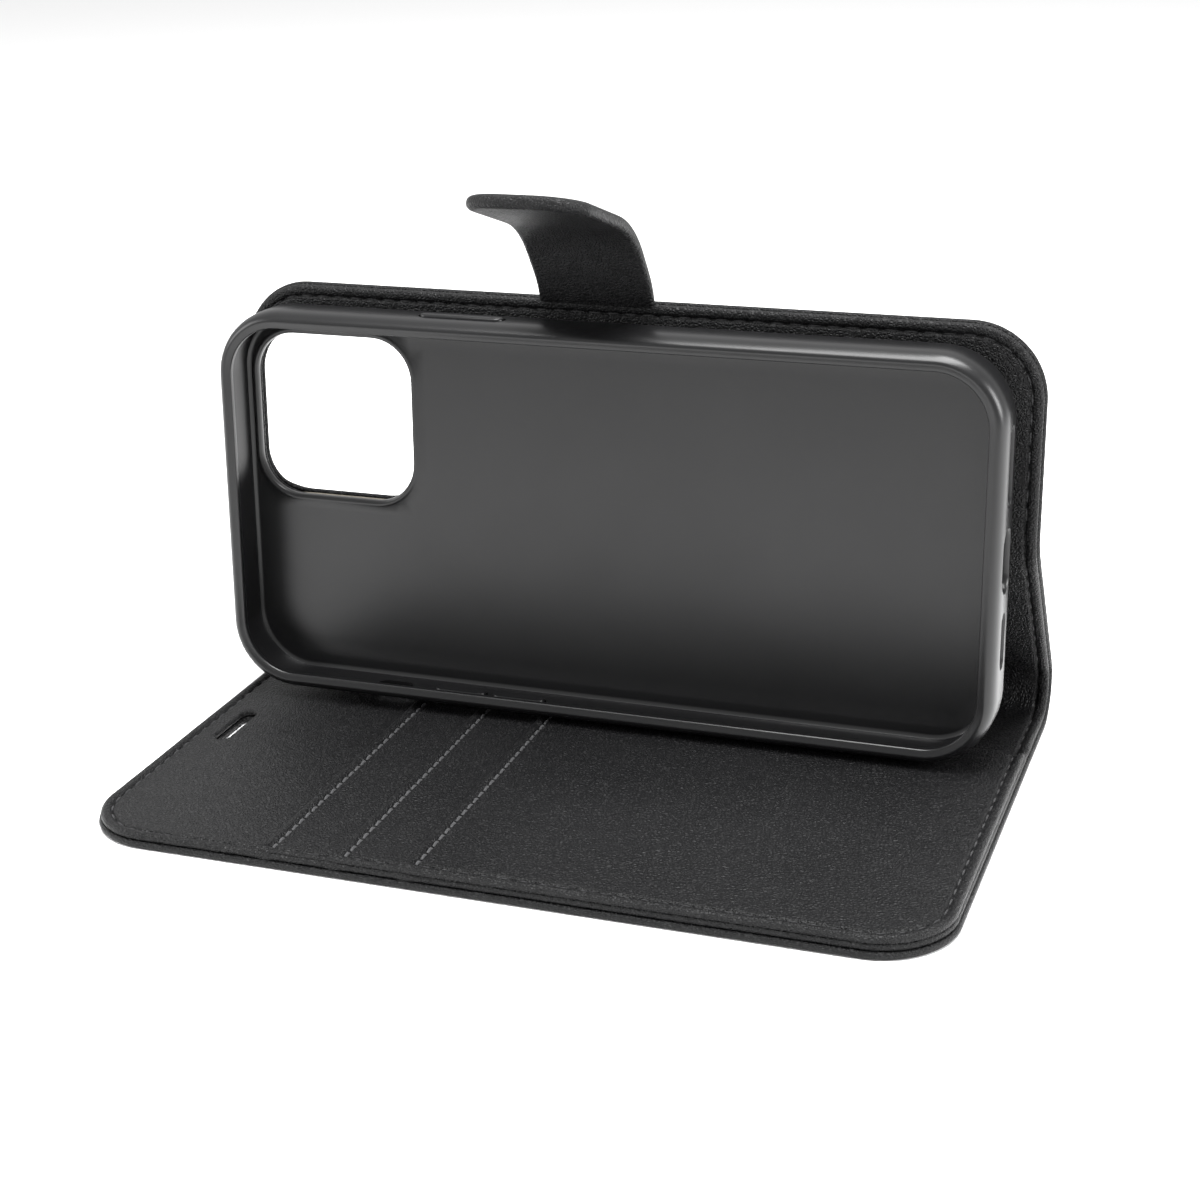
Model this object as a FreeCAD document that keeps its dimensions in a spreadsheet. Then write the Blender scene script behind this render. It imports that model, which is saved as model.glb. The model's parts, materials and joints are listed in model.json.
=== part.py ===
import FreeCAD, Part
import math
import os

# Phone wallet case, standing open: front cover flat, phone tray propped on the folded back.
# Millimetres. Origin at the centre of the front cover's underside, +X towards the port end of
# the phone, +Y towards the back of the stand, +Z up.
#
# Every leather panel is drawn flat in a frame of its own: x along the case, y along the panel
# away from the cover's free edge, z from the outer skin (0) inwards to the lining. A placement
# then turns each panel about X to where it stands.

DRIVING_SIZES = [
    ("cover_length", 154.0, "long side of every leather panel"),
    ("cover_width", 77.0, "front cover, free edge to fold"),
    ("corner_radius", 13.5, "outer corners of the cover"),
    ("skin_thick", 1.0, "outer skin"),
    ("board_thick", 0.8, "stiffening board"),
    ("lining_thick", 0.6, "inner lining"),
    ("card_thick", 0.4, "one card slot panel"),
    ("board_inset", 4.0, "board edge to panel edge"),
    ("board_setback", 1.0, "board edge to a fold's open stretch"),
    ("board_margin", 1.0, "board edge to the earpiece opening"),
    ("camera_margin", 2.5, "board edge to the camera opening"),
    ("lining_inset", 0.4, "lining edge to skin edge"),
    ("front_fold_gap", 3.0, "open stretch at the fold between cover and spine"),
    ("spine_width", 16.6, "flat part of the spine"),
    ("band_radius", 7.5, "outside of the bend between spine and flap"),
    ("band_gap", 2.4, "open stretch between spine and bend"),
    ("flap_gap", 1.6, "open stretch between bend and flap"),
    ("crease_gap", 2.4, "open stretch at the kickstand crease"),
    ("crease_height", 38.5, "crease above the tray's foot"),
    ("back_height", 78.2, "top edge of the back above the tray's foot"),
    ("back_lean", 3.0, "lean of the back, degrees"),
    ("back_offset", 1.7, "outer face of the back in front of the cover's fold"),
    ("foot_clear", 3.8, "foot of the back's outer face above the table"),
    ("slot_lower", -40.5, "mouth of the lower card slot"),
    ("slot_middle", -27.0, "mouth of the middle card slot"),
    ("slot_upper", -14.0, "mouth of the upper card slot"),
    ("card_inset", 1.0, "card panel edge to cover edge"),
    ("earpiece_offset", 7.4, "earpiece opening's centre to the cover's end"),
    ("earpiece_along", 8.5, "earpiece opening's centre, forward of the fold side"),
    ("earpiece_length", 13.5, "earpiece opening"),
    ("earpiece_width", 2.8, "earpiece opening"),
    ("plate_length", 14.0, "steel plate for the strap's magnet"),
    ("plate_width", 12.0, "steel plate for the strap's magnet"),
    ("plate_setback", 8.5, "steel plate to the cover's free edge"),
    ("pad_thick", 0.4, "glue pad between back and tray"),
    ("pad_inset", 5.0, "glue pad edge to tray edge"),
    ("tray_length", 150.0, "phone tray outside"),
    ("tray_height", 74.7, "phone tray outside"),
    ("tray_depth", 11.5, "phone tray outside, back to rim"),
    ("tray_shift", -2.4, "tray's centre to the cover's centre"),
    ("tray_corner", 13.0, "tray's corner radius"),
    ("tray_edge", 3.0, "rounding of the tray's rim"),
    ("tray_wall", 1.55, "tray's side walls"),
    ("tray_floor", 1.4, "tray's floor"),
    ("lip_width", 1.65, "lip standing over the phone's edge"),
    ("lip_thick", 1.6, "lip"),
    ("camera_length", 32.2, "camera opening"),
    ("camera_height", 31.7, "camera opening"),
    ("camera_left", 3.7, "camera opening to the tray's end"),
    ("camera_low", 37.0, "camera opening above the tray's foot"),
    ("camera_corner", 8.0, "camera opening's corner radius"),
    ("key_level", 6.0, "middle of the side keys above the tray's back"),
    ("key_width", 3.4, "side key openings, across"),
    ("key_clear", 0.3, "clearance round a key"),
    ("key_thick", 1.9, "key, out of the wall"),
    ("power_start", 40.3, "power key to the tray's camera end"),
    ("power_length", 17.0, "power key opening"),
    ("power_proud", 0.5, "power key above the wall"),
    ("volume_start", 41.0, "first volume key to the tray's camera end"),
    ("volume_length", 11.0, "one volume key opening"),
    ("volume_pitch", 12.0, "between the volume keys"),
    ("volume_sunk", 0.25, "volume keys below the wall"),
    ("mute_start", 29.0, "mute switch opening to the tray's camera end"),
    ("mute_length", 7.3, "mute switch opening"),
    ("port_low", 32.3, "charging port opening above the tray's foot"),
    ("port_length", 11.4, "charging port opening"),
    ("port_width", 5.4, "charging port opening"),
    ("speaker_low", 47.7, "speaker opening above the tray's foot"),
    ("speaker_length", 14.3, "speaker opening"),
    ("mic_low", 18.2, "microphone opening above the tray's foot"),
    ("mic_length", 10.2, "microphone opening"),
    ("grille_width", 3.0, "speaker and microphone openings, across"),
    ("strap_shift", -4.8, "strap's centre to the cover's centre"),
    ("strap_width", 22.0, "closing strap"),
    ("strap_outer", 1.0, "strap's outer skin"),
    ("strap_inner", 1.4, "strap's inner skin"),
    ("strap_lift", 0.6, "strap's first fold above the back's edge"),
    ("strap_gap", 3.4, "open stretch at each fold of the strap"),
    ("arm_length", 18.4, "strap, first fold to second"),
    ("tab_length", 30.0, "strap, second fold to tip"),
    ("tab_corner", 8.0, "tip's corner radius"),
    ("arm_angle", 125.5, "rest angle of the strap's arm, degrees"),
    ("tab_angle", 161.5, "rest angle of the strap's tab, degrees"),
    ("magnet_length", 12.0, "strap's magnet"),
    ("magnet_width", 10.0, "strap's magnet"),
    ("magnet_thick", 1.0, "strap's magnet"),
    ("magnet_start", 9.0, "magnet to the second fold"),
    ("thread_thick", 0.25, "sewing thread lying on the lining"),
    ("thread_width", 0.6, "sewing thread"),
    ("seam_inset", 2.2, "seam to the panel's edge"),
]

doc = FreeCAD.newDocument("phone_wallet_case")
sheet = doc.addObject("Spreadsheet::Sheet", "sizes")
for row, (alias, value, note) in enumerate(DRIVING_SIZES, start=1):
    sheet.set(f"A{row}", note)
    sheet.set(f"B{row}", str(value))
    sheet.setAlias(f"B{row}", alias)
doc.recompute()

X_AXIS = FreeCAD.Vector(1, 0, 0)
Y_AXIS = FreeCAD.Vector(0, 1, 0)
Z_AXIS = FreeCAD.Vector(0, 0, 1)
THROUGH = 20.0
ROUND_SLACK = 0.01
TINY = 1e-6
sub_parts = []


def size(alias):
    """A driving size, as a number."""
    return float(sheet.get(alias))


def sized(text):
    """Sheet expression with every alias spelled in full."""
    words = text.split()
    aliases = {alias for alias, _, _ in DRIVING_SIZES}
    return " ".join("sizes." + word if word in aliases else word for word in words)


def grouped(solids):
    """Several separate solids kept as one node."""
    group = doc.addObject("Part::Compound", "grouped")
    group.Links = solids
    doc.recompute()
    return group


def finished(solid, label, frame):
    """Names a finished sub-part and stands it in its panel's frame."""
    if solid.TypeId == "Part::Box":
        # A box's own placement holds its corner, so the panel's frame goes on a group round it.
        solid = grouped([solid])
    solid.Label = label
    solid.Placement = frame
    sub_parts.append(solid)
    return solid


def block(low, extent):
    """A box from sheet expressions: its low corner and its three sides."""
    solid = doc.addObject("Part::Box", "block")
    for side, text in zip(("Length", "Width", "Height"), extent):
        solid.setExpression(side, sized(text))
    for axis, text in zip("xyz", low):
        solid.setExpression(f"Placement.Base.{axis}", sized(text))
    doc.recompute()
    return solid


def rounded(base, direction, radius, keep=lambda middle: True):
    """Rounds the edges of a solid that run along a direction and pass the test."""
    chosen = []
    for number, edge in enumerate(base.Shape.Edges, start=1):
        ends = edge.Vertexes
        if len(ends) != 2:
            continue
        run = ends[1].Point - ends[0].Point
        if run.Length > 0 and run.cross(direction).Length < TINY * run.Length:
            if keep((ends[0].Point + ends[1].Point) * 0.5):
                chosen.append((number, radius, radius))
    fillet = doc.addObject("Part::Fillet", "rounded")
    fillet.Base = base
    fillet.Edges = chosen
    doc.recompute()
    return fillet


def without(base, tools):
    """A solid with other solids cut out of it."""
    before = base.Shape.Volume
    for tool in tools:
        cut = doc.addObject("Part::Cut", "without")
        cut.Base = base
        cut.Tool = tool
        base = cut
    doc.recompute()
    if tools and base.Shape.Volume > before - TINY:
        raise RuntimeError("a cut took nothing away")
    return base


def panel_frame(angle, y, z):
    """Placement of a panel turned about X, its outer face's start at (0, y, z)."""
    return FreeCAD.Placement(FreeCAD.Vector(0, y, z), FreeCAD.Rotation(X_AXIS, angle))


def along(angle):
    """Direction of a panel's own y, as seen from the end of the case."""
    turn = math.radians(angle)
    return math.cos(turn), math.sin(turn)


# Where the panels stand. The fold between cover and spine is the reference line.
fold_y = size("cover_width") / 2
cover_frame = panel_frame(0, 0, 0)
spine_frame = panel_frame(0, fold_y, 0)
bend_y = fold_y + size("spine_width")
bend_z = size("band_radius")

back_angle = 90 - size("back_lean")
back_y = fold_y - size("back_offset")
back_z = size("foot_clear")
back_frame = panel_frame(back_angle, back_y, back_z)

# The flap's outer face runs from the crease, tangent to the bend.
up_y, up_z = along(back_angle)
crease_y = back_y + up_y * size("crease_height")
crease_z = back_z + up_z * size("crease_height")
reach = math.hypot(bend_y - crease_y, crease_z - bend_z)
flap_length = math.sqrt(reach ** 2 - size("band_radius") ** 2)
flap_tilt = math.degrees(
    math.atan2(bend_y - crease_y, crease_z - bend_z) + math.asin(size("band_radius") / reach))
flap_angle = 90 + flap_tilt
down_y, down_z = along(flap_angle)
flap_y = crease_y - down_y * flap_length
flap_z = crease_z - down_z * flap_length
flap_frame = panel_frame(flap_angle, flap_y, flap_z)


# Leather panels -------------------------------------------------------------------------

SKIN_TOP = "skin_thick"
BOARD_TOP = "skin_thick + board_thick"
LINING_TOP = "skin_thick + board_thick + lining_thick"


def leather_layer(start, stop, level, thick, inset="0"):
    """One layer of a panel, the full length of the case less an inset at each end."""
    low = (f"0 - cover_length / 2 + {inset}", start, level)
    extent = (f"cover_length - 2 * ( {inset} )", f"{stop} - ( {start} )", thick)
    return block(low, extent)


def free_corners(layer, edge_y, radius):
    """Rounds the two corners of a layer at its free edge."""
    return rounded(layer, Z_AXIS, radius, lambda middle: abs(middle.y - edge_y) < TINY)


def earpiece_opening(margin):
    """The oval for the earpiece, through every layer of the front cover."""
    low = (f"0 - cover_length / 2 + earpiece_offset - earpiece_width / 2 - {margin}",
           f"earpiece_along - earpiece_length / 2 - {margin}", "-1")
    extent = (f"earpiece_width + 2 * {margin}", f"earpiece_length + 2 * {margin}", str(THROUGH))
    return rounded(block(low, extent), Z_AXIS, size("earpiece_width") / 2 - ROUND_SLACK)


def steel_plate():
    """The keeper plate that the strap's magnet finds through the skin."""
    low = ("strap_shift - plate_length / 2", "0 - cover_width / 2 + plate_setback", SKIN_TOP)
    return block(low, ("plate_length", "plate_width", "board_thick"))


front_start = "0 - cover_width / 2"
front_stop = "cover_width / 2 - front_fold_gap / 2"
free_y = -size("cover_width") / 2

skin = free_corners(leather_layer(front_start, front_stop, "0", "skin_thick"), free_y,
                    size("corner_radius"))
finished(without(skin, [earpiece_opening("0")]), "front_outer_skin", cover_frame)

board = free_corners(
    leather_layer(front_start + " + board_inset", front_stop + " - 2 * board_setback", SKIN_TOP,
                  "board_thick", "board_inset"),
    free_y + size("board_inset"), size("corner_radius") - size("board_inset"))
finished(without(board, [earpiece_opening("board_margin"), steel_plate()]), "front_board", cover_frame)
finished(steel_plate(), "clasp_plate", cover_frame)

lining = free_corners(
    leather_layer(front_start + " + lining_inset", front_stop, BOARD_TOP, "lining_thick",
                  "lining_inset"),
    free_y + size("lining_inset"), size("corner_radius") - size("lining_inset"))
finished(without(lining, [earpiece_opening("0")]), "front_lining", cover_frame)


def card_panel(mouth, number):
    """One card slot panel; it covers everything from its mouth to the port end."""
    low = (mouth, front_start + " + card_inset", f"{LINING_TOP} + {number} * card_thick")
    extent = (f"cover_length / 2 - card_inset - ( {mouth} )",
              "cover_width - card_inset - front_fold_gap", "card_thick")
    end_x = size("cover_length") / 2 - size("card_inset")
    edge_y = free_y + size("card_inset")
    return rounded(block(low, extent), Z_AXIS, size("corner_radius") - size("card_inset"),
                   lambda middle: abs(middle.x - end_x) + abs(middle.y - edge_y) < TINY)


SLOT_MOUTHS = ["slot_lower", "slot_middle", "slot_upper"]
for number, mouth in enumerate(SLOT_MOUTHS):
    name = "card_panel_" + mouth.replace("slot_", "")
    finished(card_panel(mouth, number), name, cover_frame)


def seam_run(start_x, stop_x, start_y, stop_y, level):
    """A straight stretch of thread lying on the lining or on a card panel."""
    low = (start_x, start_y, level)
    return block(low, (f"{stop_x} - ( {start_x} )", f"{stop_y} - ( {start_y} )", "thread_thick"))


# The cover's seam steps up at each slot mouth, so each stretch lies at its own level.
seam_left = "0 - cover_length / 2 + seam_inset"
seam_right = "cover_length / 2 - seam_inset - thread_width"
seam_front = front_start + " + seam_inset"
turn = "corner_radius - seam_inset"
levels = [f"{LINING_TOP} + {count} * card_thick" for count in range(4)]
front_runs = [seam_run(seam_left, seam_left + " + thread_width", f"{seam_front} + {turn}",
                       "cover_width / 2 - front_fold_gap", levels[0]),
              seam_run(seam_right, seam_right + " + thread_width", f"{seam_front} + {turn}",
                       "cover_width / 2 - 2 * front_fold_gap", levels[3])]
run_ends = [f"{seam_left} + {turn}"] + SLOT_MOUTHS + [f"{seam_right} - {turn}"]
for level, start, stop in zip(levels, run_ends[:-1], run_ends[1:]):
    front_runs.append(seam_run(f"{start} + thread_width", f"{stop} - thread_width", seam_front,
                               seam_front + " + thread_width", level))
finished(grouped(front_runs), "front_edge_thread", cover_frame)

# Each slot's mouth is sewn down beside its folded edge.
slot_runs = []
for level, mouth in zip(levels[1:], SLOT_MOUTHS):
    slot_runs.append(seam_run(f"{mouth} + seam_inset", f"{mouth} + seam_inset + thread_width",
                              seam_front + " + 2 * thread_width", "cover_width / 2 - 10", level))
finished(grouped(slot_runs), "slot_edge_thread", cover_frame)


def plain_panel(name, frame, start, stop, board_start, board_stop):
    """Skin, board and lining of a panel with no openings."""
    finished(leather_layer(start, stop, "0", "skin_thick"), name + "_outer_skin", frame)
    finished(leather_layer(board_start, board_stop, SKIN_TOP, "board_thick", "board_inset"),
             name + "_board", frame)
    finished(leather_layer(start, stop, BOARD_TOP, "lining_thick", "lining_inset"),
             name + "_lining", frame)


plain_panel("spine", spine_frame, "front_fold_gap / 2", "spine_width - band_gap / 2",
            "front_fold_gap / 2 + board_setback", "spine_width - band_gap / 2 - board_setback")


def bend_layer(name, outer, thick, inset):
    """A strip round the bend, from just past the spine to just short of the flap."""
    first = math.radians(-90) + size("band_gap") / 2 / size("band_radius")
    last = math.radians(flap_tilt) - size("flap_gap") / 2 / size("band_radius")
    body = doc.addObject("PartDesign::Body", name)
    section = body.newObject("Sketcher::SketchObject", name + "_section")
    side_plane = [plane for plane in body.Origin.OriginFeatures if plane.Role == "YZ_Plane"][0]
    section.AttachmentSupport = [(side_plane, "")]
    section.MapMode = "FlatFace"
    centre = FreeCAD.Vector(bend_y, bend_z, 0)
    for radius in (outer, outer - thick):
        circle = Part.Circle(centre, Z_AXIS, radius)
        section.addGeometry(Part.ArcOfCircle(circle, first, last), False)
    for angle in (first, last):
        ray = FreeCAD.Vector(math.cos(angle), math.sin(angle), 0)
        ends = [centre + ray * radius for radius in (outer, outer - thick)]
        section.addGeometry(Part.LineSegment(*ends), False)
    pad = body.newObject("PartDesign::Pad", name + "_pad")
    pad.Profile = section
    pad.Midplane = True
    pad.setExpression("Length", sized(f"cover_length - 2 * {inset}"))
    doc.recompute()
    return body


band_outer = size("band_radius")
finished(bend_layer("bend_skin", band_outer, size("skin_thick"), "0"),
         "bend_outer_skin", cover_frame)
finished(bend_layer("bend_liner", band_outer - size("skin_thick"), size("lining_thick"),
                    "lining_inset"),
         "bend_lining", cover_frame)

plain_panel("flap", flap_frame, "flap_gap / 2", f"{flap_length} - crease_gap / 2",
            "flap_gap / 2 + 2 * board_setback",
            f"{flap_length} - crease_gap / 2 - board_setback")


# Back panel, glued to the tray ----------------------------------------------------------

TRAY_LEFT = "tray_shift - tray_length / 2"
TRAY_BACK = LINING_TOP + " + pad_thick"


def camera_opening(margin="0"):
    """The opening behind the camera, through tray, glue pad and back panel."""
    low = (f"{TRAY_LEFT} + camera_left - {margin}", f"camera_low - {margin}", "-1")
    extent = (f"camera_length + 2 * {margin}", f"camera_height + 2 * {margin}", str(THROUGH))
    return rounded(block(low, extent), Z_AXIS, size("camera_corner"))


def back_layer(start, stop, level, thick, inset, radius, margin="0"):
    """A layer of the back panel with its two top corners rounded and the camera opening."""
    layer = leather_layer(start, stop, level, thick, inset)
    top = max(corner.Point.y for corner in layer.Shape.Vertexes)
    return without(free_corners(layer, top, radius), [camera_opening(margin)])


back_start = "crease_height + crease_gap / 2"
corner = size("corner_radius")
finished(back_layer(back_start, "back_height", "0", "skin_thick", "0", corner),
         "back_outer_skin", back_frame)
finished(back_layer(back_start + " + board_setback", "back_height - board_inset", SKIN_TOP, "board_thick",
                    "board_inset", corner - size("board_inset"), "camera_margin"),
         "back_board", back_frame)
finished(back_layer(back_start, "back_height - lining_inset", BOARD_TOP, "lining_thick",
                    "lining_inset", corner - size("lining_inset")),
         "back_lining", back_frame)

pad_low = (f"{TRAY_LEFT} + pad_inset", back_start + " + board_setback", LINING_TOP)
pad_extent = ("tray_length - 2 * pad_inset",
              f"tray_height - pad_inset - ( {back_start} + board_setback )", "pad_thick")
finished(without(block(pad_low, pad_extent), [camera_opening()]), "glue_pad", back_frame)

back_seam = seam_run("0 - cover_length / 2 + corner_radius", "cover_length / 2 - corner_radius",
                     "back_height - seam_inset", "back_height - seam_inset + thread_width",
                     LINING_TOP)
finished(back_seam, "back_edge_thread", back_frame)


# Phone tray -----------------------------------------------------------------------------


def end_opening(low, length, width):
    """An opening through the tray's port end, from its foot-side edge and its sides."""
    low_corner = (f"{TRAY_LEFT} + tray_length - 3 * tray_wall", low,
                  f"{TRAY_BACK} + key_level - {width} / 2")
    hole = block(low_corner, ("6 * tray_wall", length, width))
    return rounded(hole, X_AXIS, size(width) / 2 - ROUND_SLACK)


def key_opening(start, length, side):
    """A slot through the foot or the top wall, for a key or a switch."""
    heights = {"foot": "0 - tray_wall", "top": "tray_height - 2 * tray_wall"}
    low = (f"{TRAY_LEFT} + {start}", heights[side], f"{TRAY_BACK} + key_level - key_width / 2")
    slot = block(low, (length, "3 * tray_wall", "key_width"))
    return rounded(slot, Y_AXIS, size("key_width") / 2 - ROUND_SLACK)


outside = block((TRAY_LEFT, "0", TRAY_BACK), ("tray_length", "tray_height", "tray_depth"))
outside = rounded(outside, Z_AXIS, size("tray_corner"))
shell = doc.addObject("Part::Fillet", "shell")
shell.Base = outside
shell.Edges = [(number, size("tray_edge"), size("tray_edge"))
               for number, edge in enumerate(outside.Shape.Edges, start=1)
               if edge.BoundBox.ZLength < TINY]
doc.recompute()

phone_low = (f"{TRAY_LEFT} + tray_wall", "tray_wall", f"{TRAY_BACK} + tray_floor")
phone_extent = ("tray_length - 2 * tray_wall", "tray_height - 2 * tray_wall",
                "tray_depth - tray_floor - lip_thick")
phone_room = rounded(block(phone_low, phone_extent), Z_AXIS,
                     size("tray_corner") - size("tray_wall"))
mouth_low = (f"{TRAY_LEFT} + tray_wall + lip_width", "tray_wall + lip_width",
             f"{TRAY_BACK} + tray_floor + tray_wall")
mouth_extent = ("tray_length - 2 * ( tray_wall + lip_width )",
                "tray_height - 2 * ( tray_wall + lip_width )", "tray_depth")
screen_mouth = rounded(block(mouth_low, mouth_extent), Z_AXIS,
                       size("tray_corner") - size("tray_wall") - size("lip_width"))

VOLUME_STARTS = {"volume_up_key": "volume_start",
                 "volume_down_key": "volume_start + volume_pitch"}
openings = [phone_room, screen_mouth, camera_opening(),
            key_opening("power_start", "power_length", "top"),
            key_opening("mute_start", "mute_length", "foot"),
            end_opening("port_low", "port_length", "port_width"),
            end_opening("speaker_low", "speaker_length", "grille_width"),
            end_opening("mic_low", "mic_length", "grille_width")]
for start in VOLUME_STARTS.values():
    openings.append(key_opening(start, "volume_length", "foot"))
finished(without(shell, openings), "phone_tray", back_frame)


def side_key(start, length, low):
    """A key that slides in its slot, clear of it all round."""
    corner_low = (f"{TRAY_LEFT} + {start} + key_clear", low,
                  f"{TRAY_BACK} + key_level - key_width / 2 + key_clear")
    extent = (f"{length} - 2 * key_clear", "key_thick", "key_width - 2 * key_clear")
    key = block(corner_low, extent)
    return rounded(key, Y_AXIS, size("key_width") / 2 - size("key_clear") - ROUND_SLACK)


finished(side_key("power_start", "power_length", "tray_height + power_proud - key_thick"),
         "power_key", back_frame)
for name, start in VOLUME_STARTS.items():
    finished(side_key(start, "volume_length", "volume_sunk"), name, back_frame)


# Closing strap --------------------------------------------------------------------------

strap_thick = size("strap_outer") + size("strap_inner")
panel_thick = size("skin_thick") + size("board_thick") + size("lining_thick")
edge_y = back_y + up_y * size("back_height") - up_z * panel_thick / 2
edge_z = back_z + up_z * size("back_height") + up_y * panel_thick / 2
base_y = edge_y + up_y * size("strap_lift")
base_z = edge_z + up_z * size("strap_lift")


def strap_frame(angle, middle_y, middle_z):
    """Frame of a stretch of strap from the middle of its thickness."""
    run_y, run_z = along(angle)
    return panel_frame(angle, middle_y + run_z * strap_thick / 2,
                       middle_z - run_y * strap_thick / 2)


arm_y, arm_z = along(size("arm_angle"))
bend2_y = base_y + arm_y * size("arm_length")
bend2_z = base_z + arm_z * size("arm_length")
arm_frame = strap_frame(size("arm_angle"), base_y, base_z)
tab_frame = strap_frame(size("tab_angle"), bend2_y, bend2_z)

STRAP_LEFT = "strap_shift - strap_width / 2"


def strap_layer(start, stop, level, thick):
    """One skin of a stretch of strap."""
    return block((STRAP_LEFT, start, level), ("strap_width", f"{stop} - ( {start} )", thick))


arm_ends = ("strap_gap / 2", "arm_length - strap_gap / 2")
finished(strap_layer(*arm_ends, "0", "strap_outer"), "strap_arm_outer", arm_frame)
finished(strap_layer(*arm_ends, "strap_outer", "strap_inner"), "strap_arm_inner", arm_frame)


def strap_magnet():
    """The magnet lies in a pocket of the tab's inner skin."""
    low = ("strap_shift - magnet_length / 2", "magnet_start", "strap_outer")
    return block(low, ("magnet_length", "magnet_width", "magnet_thick"))


tab_tip = size("tab_length")
tab_outer = free_corners(strap_layer("strap_gap / 2", "tab_length", "0", "strap_outer"),
                         tab_tip, size("tab_corner"))
tab_inner = free_corners(strap_layer("strap_gap / 2", "tab_length", "strap_outer", "strap_inner"),
                         tab_tip, size("tab_corner"))
finished(tab_outer, "strap_tab_outer", tab_frame)
finished(without(tab_inner, [strap_magnet()]), "strap_tab_inner", tab_frame)
finished(strap_magnet(), "strap_magnet", tab_frame)


# Check and write ------------------------------------------------------------------------

doc.recompute()
for item in doc.Objects:
    if "Invalid" in item.State or "Error" in item.State:
        raise RuntimeError(f"{item.Label} failed: {item.State}")
for solid in sub_parts:
    if solid.Shape.isNull() or not solid.Shape.isValid() or not solid.Shape.Solids:
        raise RuntimeError(f"{solid.Label} has no valid shape")

os.makedirs("parts", exist_ok=True)
for solid in sub_parts:
    solid.Shape.exportStep(f"parts/{solid.Label}.step")
    print(f"{solid.Label}: {solid.Shape.Volume:.1f} mm3, {len(solid.Shape.Solids)} solids")

print(f"flap length {flap_length:.3f}, flap angle {flap_angle:.3f}")
print(f"cover fold at y {fold_y:.3f}, bend centre at ({bend_y:.3f}, {bend_z:.3f})")
print(f"flap starts at ({flap_y:.3f}, {flap_z:.3f}), crease at ({crease_y:.3f}, {crease_z:.3f})")
print(f"strap folds at ({base_y:.3f}, {base_z:.3f}) and ({bend2_y:.3f}, {bend2_z:.3f})")
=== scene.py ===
# %% [markdown]
# # A folding phone wallet case, standing open
# The case is a long strip of leather, folded three times. The front cover lies flat, a spine
# runs back from it, a soft bend turns upwards, a kickstand flap leans forward, and above a crease
# the back carries the moulded phone tray. The design model holds every size, fold line and
# joint. This script only gives the pieces their finished shape and surface.

import json
import math

import bmesh
import bpy
from mathutils import Matrix, Vector, noise
from mathutils.geometry import delaunay_2d_cdt


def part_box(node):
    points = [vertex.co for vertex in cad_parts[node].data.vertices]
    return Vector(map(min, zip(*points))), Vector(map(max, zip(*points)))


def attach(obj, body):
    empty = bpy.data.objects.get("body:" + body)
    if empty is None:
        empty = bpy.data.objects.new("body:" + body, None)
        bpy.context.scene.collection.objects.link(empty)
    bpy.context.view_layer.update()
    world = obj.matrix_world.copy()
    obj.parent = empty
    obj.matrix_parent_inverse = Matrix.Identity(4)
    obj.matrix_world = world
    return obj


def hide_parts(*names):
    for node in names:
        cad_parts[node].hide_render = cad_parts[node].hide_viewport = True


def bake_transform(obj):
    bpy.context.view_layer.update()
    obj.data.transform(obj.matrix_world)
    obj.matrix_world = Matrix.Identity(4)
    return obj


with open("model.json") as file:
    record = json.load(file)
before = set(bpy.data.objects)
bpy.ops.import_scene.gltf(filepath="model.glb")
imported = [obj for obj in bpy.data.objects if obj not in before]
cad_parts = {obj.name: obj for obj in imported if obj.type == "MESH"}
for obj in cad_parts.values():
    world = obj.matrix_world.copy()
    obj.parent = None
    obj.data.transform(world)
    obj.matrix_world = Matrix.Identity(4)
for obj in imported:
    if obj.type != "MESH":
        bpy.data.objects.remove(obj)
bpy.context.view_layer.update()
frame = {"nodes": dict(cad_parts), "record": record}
joints = {joint["name"]: joint for joint in frame["record"]["behaviour"]["joints"]}

MM = 0.001

# %% [markdown]
# ## Where the folds are
# Every fold line is a joint of the design, so the joints give the folds' places. The unfinished
# outline of the case, seen from its end, is a line with three corners. Each corner is rounded to
# the radius that the leather really bends to.

# %% Fold lines, read from the joints
def fold(name):
    """A joint's place seen from the end of the case, in millimetres."""
    _, y, z = joints[name]["pos_m"]
    return Vector((y / MM, z / MM))


HALF_THICK = fold("front_fold").y
press = joints["power_key_press"]["axis"]
UP = -Vector((press[1], press[2])).normalized()
FORWARD = Vector((-UP.y, UP.x))
BEND_RADIUS = 7.5
CREASE_RADIUS = 9.0

cover_low, cover_high = (Vector(corner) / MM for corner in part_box("front_outer_skin"))
END_X = cover_high.x
FREE_EDGE = cover_low.y
crease = fold("kickstand_fold") - FORWARD * HALF_THICK
bend_centre = Vector((fold("spine_rear_fold").x, BEND_RADIUS))
to_flap = fold("flap_lower_fold") - bend_centre
bend_turn = math.atan2(to_flap.y, to_flap.x) + math.pi / 2
bend_corner = bend_centre + Vector((BEND_RADIUS * math.tan(bend_turn / 2), -BEND_RADIUS))
BACK_HEIGHT = 78.2
CREASE_HEIGHT = 38.5
tray_foot = crease - UP * CREASE_HEIGHT
back_top = tray_foot + UP * BACK_HEIGHT
print("bend turns", round(math.degrees(bend_turn), 1), "degrees")

# %% [markdown]
# ## A path with rounded corners
# A leather layer keeps its distance from the layer under it, also round a bend. So one path
# describes the outer face, and a piece is drawn flat, in millimetres along the path and across
# it. The function `spot` then folds it: it takes a distance along the path and a depth under the
# outer face and gives the place.

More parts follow.
